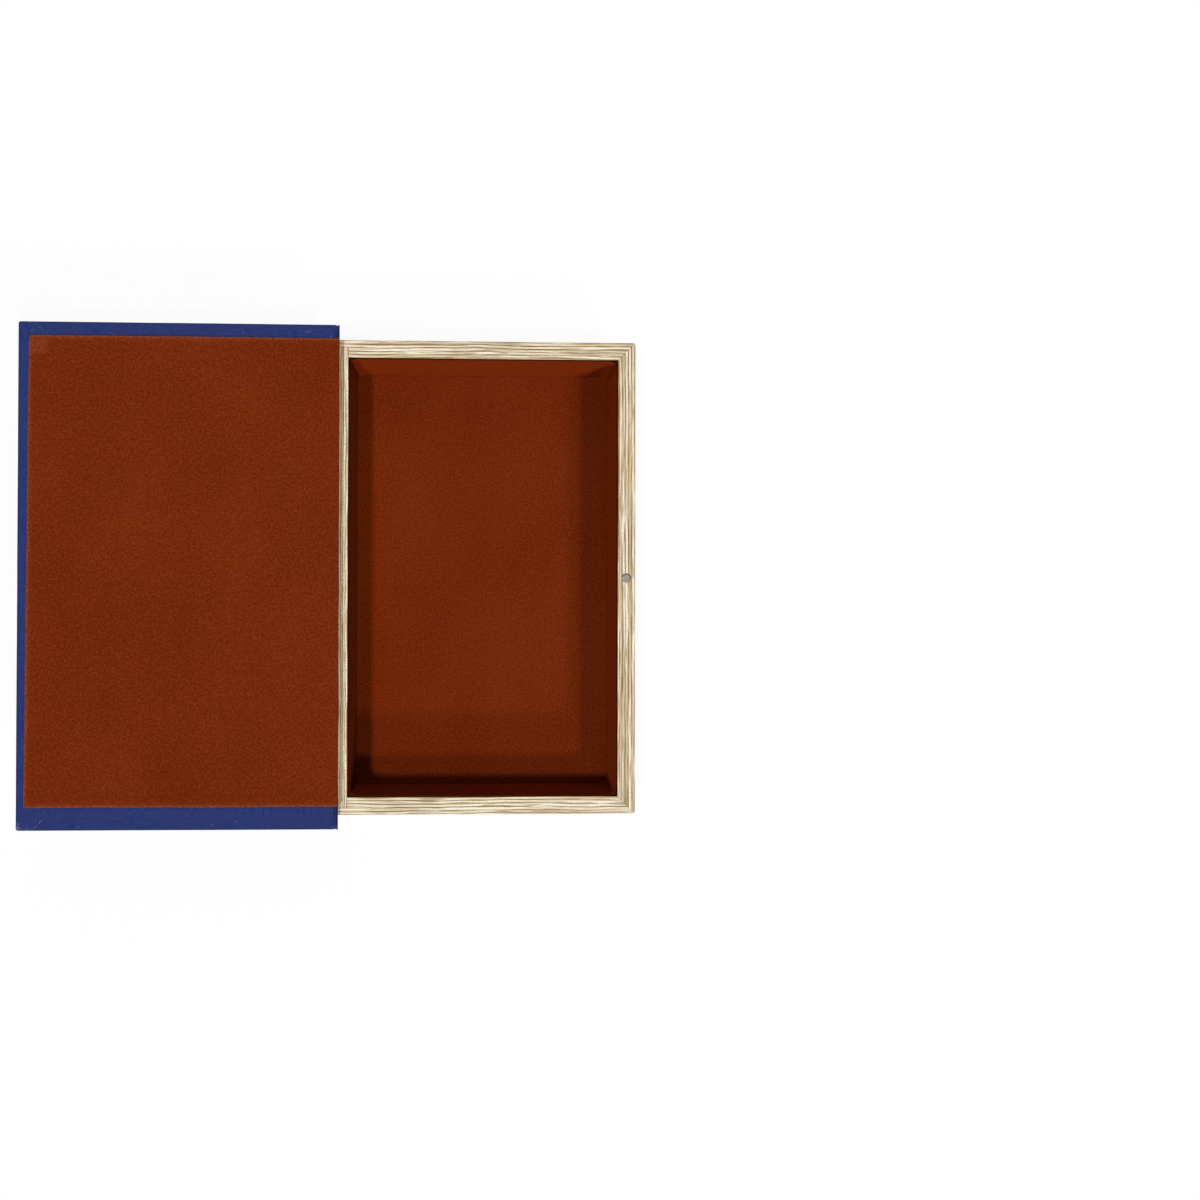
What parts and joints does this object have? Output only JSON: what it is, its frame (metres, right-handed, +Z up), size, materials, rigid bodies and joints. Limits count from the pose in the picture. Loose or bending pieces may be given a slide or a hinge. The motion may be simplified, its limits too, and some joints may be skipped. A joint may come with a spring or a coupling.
{
  "type": "book storage box",
  "caption": "Keepsake box in the shape of a cloth-bound book: lined tray with page-edge paper, rounded spine and a hinged cover held by a magnet.",
  "frame": {"origin": "middle of the back cover's underside, on which the box lies", "axes": "+X to the fore edge of the tray, away from the spine; +Y to the head of the book; +Z up, with the front cover opened flat towards -X"},
  "size_m": [0.3365, 0.27, 0.052],
  "materials": {
    "book_cloth": "navy book cloth with a fine weave, slightly worn at its edges",
    "velvet": "short rust-brown velvet",
    "page_edge_paper": "cream paper with fine brown lines, like the edges of pages",
    "fibreboard": "plain fibreboard",
    "grey_board": "plain bookbinder's board",
    "catch_steel": "dull plated steel"
  },
  "bodies": {
    "box": {"joint_cloth": "book_cloth", "spine_board": "grey_board", "spine_cloth": "book_cloth", "back_board": "grey_board", "back_cloth": "book_cloth", "tray_base": "fibreboard", "head_wall": "fibreboard", "tail_wall": "fibreboard", "fore_edge_wall": "fibreboard", "spine_side_wall": "fibreboard", "head_paper": "page_edge_paper", "tail_paper": "page_edge_paper", "fore_edge_paper": "page_edge_paper", "spine_side_paper": "page_edge_paper", "floor_lining": "velvet", "head_lining": "velvet", "tail_lining": "velvet", "fore_edge_lining": "velvet", "spine_side_lining": "velvet", "tray_magnet": "catch_steel"},
    "cover": {"front_board": "grey_board", "front_cloth": "book_cloth", "cover_lining": "velvet", "cover_disc": "catch_steel"}
  },
  "joints": [
    {"name": "cover_hinge", "type": "hinge", "parent": "box", "child": "cover", "pos_m": [-0.08395, 0, 0.04845], "axis": [0, 1, 0], "range_deg": [0, 179.9], "deforming": ["joint_cloth"]}
  ]
}
